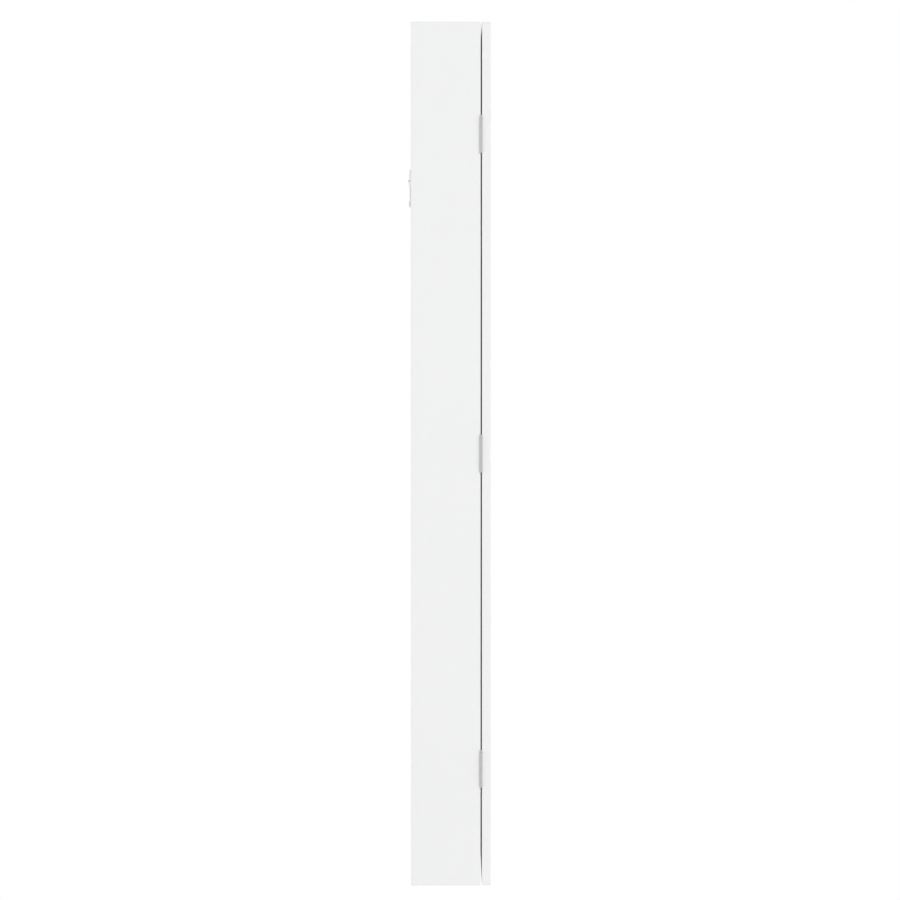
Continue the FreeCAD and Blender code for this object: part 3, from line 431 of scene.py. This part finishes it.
# ------------------------------------------------------------ nickel pieces
# Hinges, hooks and the bracelet rod are steel with a satin nickel plate. The
# plate keeps the rolling marks of the sheet, and tiny clouds of tarnish.

nickel_grey = (0.73, 0.72, 0.70, 1)
nickel, nickel_shader = new_finish("satin nickel", nickel_grey, Metallic=1.0)
tarnish = place_group(
    nickel, cloudy, Colour=nickel_grey, Other=(0.63, 0.62, 0.60, 1), Scale=350.0,
    Gloss=0.36, Gloss_drift=0.16,
)
place = add(nickel.node_tree, "TexCoord")
rolled = add(
    nickel.node_tree, "Mapping", {"Vector": place.outputs["Object"], "Scale": (6000, 6000, 250)}
)
marks = add(
    nickel.node_tree, "TexNoise", {"Vector": rolled.outputs[0], "Scale": 1.0, "Detail": 2.0}
)
spread_tone(nickel, nickel_shader, tarnish)
raise_surface(nickel, nickel_shader, marks.outputs["Fac"], strength=0.15, distance=0.00005)
for number in (1, 2, 3):
    dress(nickel, f"hinge_leaf_cabinet_{number}", f"hinge_leaf_door_{number}")
    dress(nickel, f"hinge_pin_{number}")
dress(nickel, "necklace_hooks", "bracelet_rod")

# ------------------------------------------------------------------ hangers
# The folded straps and their rings are stamped from thin sheet and barrel
# plated, which leaves them paler and more even than the hinges.

bright = nickel.copy()
bright.name = "pale nickel"
plated = next(node for node in bright.node_tree.nodes if node.type == "GROUP")
plated.inputs["Colour"].default_value = (0.90, 0.89, 0.87, 1)
plated.inputs["Other"].default_value = (0.84, 0.83, 0.81, 1)
plated.inputs["Scale"].default_value = 600.0
dress(bright, "hanger_strap_left", "hanger_strap_right")
dress(bright, "hanger_ring_left", "hanger_ring_right")

# ---------------------------------------------------------------- zinc steel
# Tabs, strikes, pole plates and the screws of hooks, catches and strikes are
# zinc plated, cooler and duller than the nickel, with a broken spangle.

zinc_grey = (0.50, 0.52, 0.54, 1)
zinc, zinc_shader = new_finish("zinc plate", zinc_grey, Metallic=1.0)
spangle = place_group(
    zinc, cloudy, Colour=zinc_grey, Other=(0.38, 0.40, 0.42, 1), Scale=500.0,
    Gloss=0.30, Gloss_drift=0.25,
)
spread_tone(zinc, zinc_shader, spangle)
dress(zinc, "back_board_tabs", "strike_plates", "catch_pole_plates")

# -------------------------------------------------------------------- screws
# Cross-headed wood screws hold the leaves, hooks, catches, strikes and
# hangers. The heads sit in their seats with a low dome and a pressed recess.


def cross_head(radius, rise):
    """A head that looks along +z, domed above its seat and recessed."""
    sunk = 0.0003
    bm = bmesh.new()
    head = bmesh.ops.create_cone(
        bm, cap_ends=True, segments=24, radius1=radius, radius2=radius, depth=rise + sunk
    )["verts"]
    bmesh.ops.translate(bm, vec=(0, 0, (rise - sunk) / 2), verts=head)
    top = [line for line in bm.edges if min(v.co.z for v in line.verts) > rise - 1e-7]
    bmesh.ops.bevel(
        bm, geom=top, offset=rise * 0.9, segments=3, profile=0.5, affect="EDGES", material=-1
    )
    head_mesh = bpy.data.meshes.new("head")
    bm.to_mesh(head_mesh)
    bm.free()

    # The recess is a cross that narrows downwards, cut out of the dome.
    arm = radius * 0.62
    half_slot = radius * 0.15
    depth = radius * 0.5
    narrowing = 0.6
    bm = bmesh.new()
    bmesh.ops.create_grid(bm, x_segments=3, y_segments=3, size=arm)
    for vert in bm.verts:
        for axis in (0, 1):
            if abs(vert.co[axis]) < arm / 2:
                vert.co[axis] = math.copysign(half_slot, vert.co[axis])
    corners = [
        face for face in bm.faces
        if min(abs(face.calc_center_median().x), abs(face.calc_center_median().y)) > half_slot
    ]
    bmesh.ops.delete(bm, geom=corners, context="FACES")
    bmesh.ops.translate(bm, vec=(0, 0, rise + sunk), verts=bm.verts)
    pressed_in = bmesh.ops.extrude_face_region(bm, geom=bm.faces[:])["geom"]
    recess_floor = [vert for vert in pressed_in if isinstance(vert, bmesh.types.BMVert)]
    bmesh.ops.translate(bm, vec=(0, 0, -depth - sunk), verts=recess_floor)
    bmesh.ops.scale(bm, vec=(narrowing, narrowing, 1), verts=recess_floor)
    bmesh.ops.recalc_face_normals(bm, faces=bm.faces)
    cutter_mesh = bpy.data.meshes.new("cutter")
    bm.to_mesh(cutter_mesh)
    bm.free()

    blank = bpy.data.objects.new("head", head_mesh)
    cutter = bpy.data.objects.new("cutter", cutter_mesh)
    for thing in (blank, cutter):
        bpy.context.scene.collection.objects.link(thing)
    cut = blank.modifiers.new("recess", "BOOLEAN")
    cut.object = cutter
    bpy.context.view_layer.update()
    ready = blank.evaluated_get(bpy.context.evaluated_depsgraph_get())
    made = bpy.data.meshes.new_from_object(ready)
    for thing in (blank, cutter):
        bpy.data.objects.remove(thing)
    return made


def screws(name, head, spots, facing, body, material):
    """Copies of a head at these spots, each driven home at its own angle."""
    turn_step = 0.7
    aim = facing.to_track_quat("Z", "Y").to_matrix().to_4x4()
    bm = bmesh.new()
    for number, spot in enumerate(spots):
        before = len(bm.verts)
        bm.from_mesh(head)
        bm.verts.ensure_lookup_table()
        twist = Matrix.Rotation(number * turn_step, 4, "Z")
        bmesh.ops.transform(
            bm, matrix=Matrix.Translation(spot) @ aim @ twist, verts=bm.verts[before:]
        )
    return new_piece(name, bm, material, body)


towards_room = Vector((0, -1, 0))
towards_wall = Vector((0, 1, 0))
leaf_head = cross_head(radius=0.0023, rise=0.0004)
leaf_thickness = 0.0008
screw_inset = 0.0038
screw_reach = 0.012
for number in (1, 2, 3):
    fixed_low, fixed_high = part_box(f"hinge_leaf_cabinet_{number}")
    moving_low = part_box(f"hinge_leaf_door_{number}")[0]
    screw_line = fixed_high.x - screw_inset
    level = (fixed_low.z + fixed_high.z) / 2
    heights = (level - screw_reach, level + screw_reach)
    screws(
        f"hinge_screws_cabinet_{number}", leaf_head,
        [Vector((screw_line, fixed_high.y - leaf_thickness, z)) for z in heights],
        towards_room, "cabinet", nickel,
    )
    screws(
        f"hinge_screws_door_{number}", leaf_head,
        [Vector((screw_line, moving_low.y + leaf_thickness, z)) for z in heights],
        towards_wall, "door", nickel,
    )

hook_count = 7
hook_width = 0.005
hook_sheet = 0.0015
screw_drop = 0.0055
hooks_low, hooks_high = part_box("necklace_hooks")
hook_pitch = (hooks_high.x - hooks_low.x - hook_width) / (hook_count - 1)
first_hook = hooks_low.x + hook_width / 2
screws(
    "hook_screws", cross_head(radius=0.0018, rise=0.0005),
    [
        Vector((first_hook + hook_pitch * n, hooks_high.y - hook_sheet, hooks_high.z - screw_drop))
        for n in range(hook_count)
    ],
    towards_room, "cabinet", zinc,
)

ear_thickness = 0.0025
ear_middle = 0.0045
for number in (1, 2):
    case_low, case_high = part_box(f"catch_housing_{number}")
    screws(
        f"catch_screws_{number}", cross_head(radius=0.0021, rise=0.0006),
        [
            Vector((case_high.x - ear_thickness, (case_low.y + case_high.y) / 2, z))
            for z in (case_low.z + ear_middle, case_high.z - ear_middle)
        ],
        Vector((-1, 0, 0)), "cabinet", zinc,
    )

strike_length = 0.030
strike_screw_inset = 0.0025
strike_low, strike_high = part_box("strike_plates")
screws(
    "strike_screws", cross_head(radius=0.0018, rise=0.00015),
    [
        Vector(((strike_low.x + strike_high.x) / 2, strike_high.y, z))
        for end, way in ((strike_low.z, 1), (strike_high.z, -1))
        for z in (
            end + way * strike_screw_inset, end + way * (strike_length - strike_screw_inset)
        )
    ],
    towards_wall, "door", zinc,
)

# The hangers' screws have a taller round head over the folded strap.
seats_low, seats_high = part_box("hanger_screws")
hanger_head_radius = (seats_high.z - seats_low.z) / 2
hanger_head_height = 0.0009
hanger_screws = screws(
    "hanger_screw_heads", cross_head(radius=hanger_head_radius, rise=hanger_head_height),
    [
        Vector((x, seats_high.y - hanger_head_height, (seats_low.z + seats_high.z) / 2))
        for x in (seats_low.x + hanger_head_radius, seats_high.x - hanger_head_radius)
    ],
    towards_wall, "cabinet", bright,
)
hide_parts("hanger_screws")

# ----------------------------------------------------------- catch magnets
# A block of pressed ferrite between the two pole plates, dull and grainy.

ferrite = (0.030, 0.029, 0.031, 1)
magnet, magnet_shader = new_finish("pressed ferrite", ferrite)
pressed = place_group(
    magnet, cloudy, Colour=ferrite, Other=(0.050, 0.048, 0.050, 1), Scale=900.0,
    Gloss=0.55, Gloss_drift=0.25,
)
spread_tone(magnet, magnet_shader, pressed)
dress(magnet, "catch_magnets")

# ------------------------------------------------------------- door bumpers
# Two clear self-adhesive domes of soft rubber on the free side's front edge.

rubber, rubber_shader = new_finish(
    "clear rubber", (0.90, 0.92, 0.92, 1), Transmission_Weight=0.85, IOR=1.45
)
cast = place_group(rubber, cloudy, Scale=200.0, Gloss=0.12, Gloss_drift=0.15)
rubber.node_tree.links.new(cast.outputs["Roughness"], rubber_shader.inputs["Roughness"])
pads_low, pads_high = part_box("bumper_pads")
pad_radius = (pads_high.x - pads_low.x) / 2
pad_edge = 0.0005
pad_taper = 0.82
bm = bmesh.new()
for level in (pads_low.z + pad_radius, pads_high.z - pad_radius):
    dome = bmesh.ops.create_cone(
        bm, cap_ends=True, segments=36, radius1=pad_radius, radius2=pad_radius * pad_taper,
        depth=pads_high.y - pads_low.y,
    )["verts"]
    bmesh.ops.rotate(bm, matrix=Matrix.Rotation(math.pi / 2, 3, "X"), verts=dome)
    bmesh.ops.translate(
        bm, vec=((pads_low.x + pads_high.x) / 2, (pads_low.y + pads_high.y) / 2, level),
        verts=dome,
    )
front = [line for line in bm.edges if max(v.co.y for v in line.verts) < pads_low.y + 1e-6]
bmesh.ops.bevel(
    bm, geom=front, offset=pad_edge, segments=4, profile=0.5, affect="EDGES", material=-1
)
bumpers = new_piece("bumper_domes", bm, rubber, "cabinet")
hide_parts("bumper_pads")

# -------------------------------------------------------- floor and backdrop
# The cabinet hangs above a pale floor that runs out into the white of the
# studio, so no edge shows behind it or in the mirror. It is clear from below.

floor_level = -0.75
floor_reach = 6.0
fade_start = 1.2
fade_end = 4.5
horizon_grey = (0.71, 0.72, 0.73, 1)
studio_white = (1, 1, 1, 1)
floor_material, floor_shader = new_finish("pale floor", (0.86, 0.86, 0.86, 1), Roughness=0.9)
tree = floor_material.node_tree
place = add(tree, "TexCoord")
outward = add(tree, "VectorMath", {0: place.outputs["Object"]}, operation="LENGTH")
fade = add(
    tree, "MapRange",
    {"Value": outward.outputs["Value"], "From Min": fade_start, "From Max": fade_end},
    interpolation_type="SMOOTHSTEP",
)
seen = add(tree, "LightPath")
far_tone = add(
    tree, "Mix", {0: seen.outputs["Is Camera Ray"], 6: horizon_grey, 7: studio_white},
    data_type="RGBA",
)
far = add(tree, "Emission", {"Color": far_tone.outputs[2], "Strength": 1.0})
blend = add(tree, "MixShader", {0: fade.outputs[0], 1: floor_shader.outputs[0], 2: far.outputs[0]})
lighting_ray = add(
    tree, "Math",
    {0: seen.outputs["Is Diffuse Ray"], 1: seen.outputs["Is Shadow Ray"]},
    operation="MAXIMUM",
)
pale_floor = add(
    tree, "MixShader",
    {0: lighting_ray.outputs[0], 1: blend.outputs[0], 2: floor_shader.outputs[0]},
)
under = add(tree, "NewGeometry")
clear = add(tree, "BsdfTransparent")
both_sides = add(
    tree, "MixShader",
    {0: under.outputs["Backfacing"], 1: pale_floor.outputs[0], 2: clear.outputs[0]},
)
tree.links.new(both_sides.outputs[0], tree.nodes["Material Output"].inputs["Surface"])
bm = bmesh.new()
bmesh.ops.create_circle(bm, cap_ends=True, segments=96, radius=floor_reach)
bmesh.ops.translate(bm, vec=(0, 0, floor_level), verts=bm.verts)
floor_mesh = bpy.data.meshes.new("floor")
bm.to_mesh(floor_mesh)
bm.free()
floor_mesh.materials.append(floor_material)
floor = bpy.data.objects.new("floor", floor_mesh)
bpy.context.scene.collection.objects.link(floor)

# ------------------------------------------------------------------- lights
# A white room: the world lights everything evenly, and large soft lamps give
# the sides a little modelling. What is looked at directly is plain white;
# glass and metal see it shade off towards the horizon, and never see a lamp.

ambient = 0.67
upper_grey = (0.92, 0.925, 0.93, 1)
grey_below = -0.12
grey_above = 0.24
world = bpy.data.worlds.new("studio")
world.use_nodes = True
bpy.context.scene.world = world
tree = world.node_tree
background = tree.nodes["Background"]
place = add(tree, "TexCoord")
axes = add(tree, "SeparateXYZ", {"Vector": place.outputs["Generated"]})
height = add(
    tree, "MapRange",
    {"Value": axes.outputs["Z"], "From Min": grey_below, "From Max": grey_above},
    interpolation_type="SMOOTHSTEP",
)
mirrored = add(
    tree, "Mix", {0: height.outputs[0], 6: horizon_grey, 7: upper_grey}, data_type="RGBA"
)
seen = add(tree, "LightPath")
shiny = add(
    tree, "Math",
    {0: seen.outputs["Is Glossy Ray"], 1: seen.outputs["Is Transmission Ray"]},
    operation="MAXIMUM",
)
lit = add(
    tree, "Mix",
    {0: shiny.outputs[0], 6: (ambient, ambient, ambient, 1), 7: mirrored.outputs[2]},
    data_type="RGBA",
)
direct = add(
    tree, "Mix", {0: seen.outputs["Is Camera Ray"], 6: lit.outputs[2], 7: studio_white},
    data_type="RGBA",
)
tree.links.new(direct.outputs[2], background.inputs["Color"])

cabinet_middle = Vector((0, -0.04, 0.45))
for name, spot, width, watts in (
    ("side lamp", Vector((-3.6, -1.0, 0.5)), 4.0, 58),
    ("front lamp", Vector((1.3, -3.6, 1.3)), 3.0, 40),
    ("rear lamp", Vector((1.9, 3.2, 0.8)), 3.0, 42),
):
    lamp = bpy.data.lights.new(name, "AREA")
    lamp.size = width
    lamp.energy = watts
    holder = bpy.data.objects.new(name, lamp)
    holder.location = spot
    holder.rotation_euler = (cabinet_middle - spot).to_track_quat("-Z", "Y").to_euler()
    holder.visible_glossy = False
    bpy.context.scene.collection.objects.link(holder)

# ------------------------------------------------------------------- camera
# It looks at the hinge side from across the room through a long lens, from a
# little above the cabinet's middle, so it is tipped down by two degrees.

camera_distance = 5.0
camera_height = 0.62
camera_ahead = -0.049
seen_height = 0.9366
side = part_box("side_panel_hinge")[0].x
looked_at = Vector((side, -0.0407, 0.4551))
camera = bpy.data.cameras.new("camera")
camera.sensor_width = 36
camera.lens = camera.sensor_width * camera_distance / seen_height
viewer = bpy.data.objects.new("camera", camera)
viewer.location = (side - camera_distance, camera_ahead, camera_height)
viewer.rotation_euler = (looked_at - viewer.location).to_track_quat("-Z", "Y").to_euler()
bpy.context.scene.collection.objects.link(viewer)
bpy.context.scene.camera = viewer
bpy.context.scene.view_settings.view_transform = "Standard"
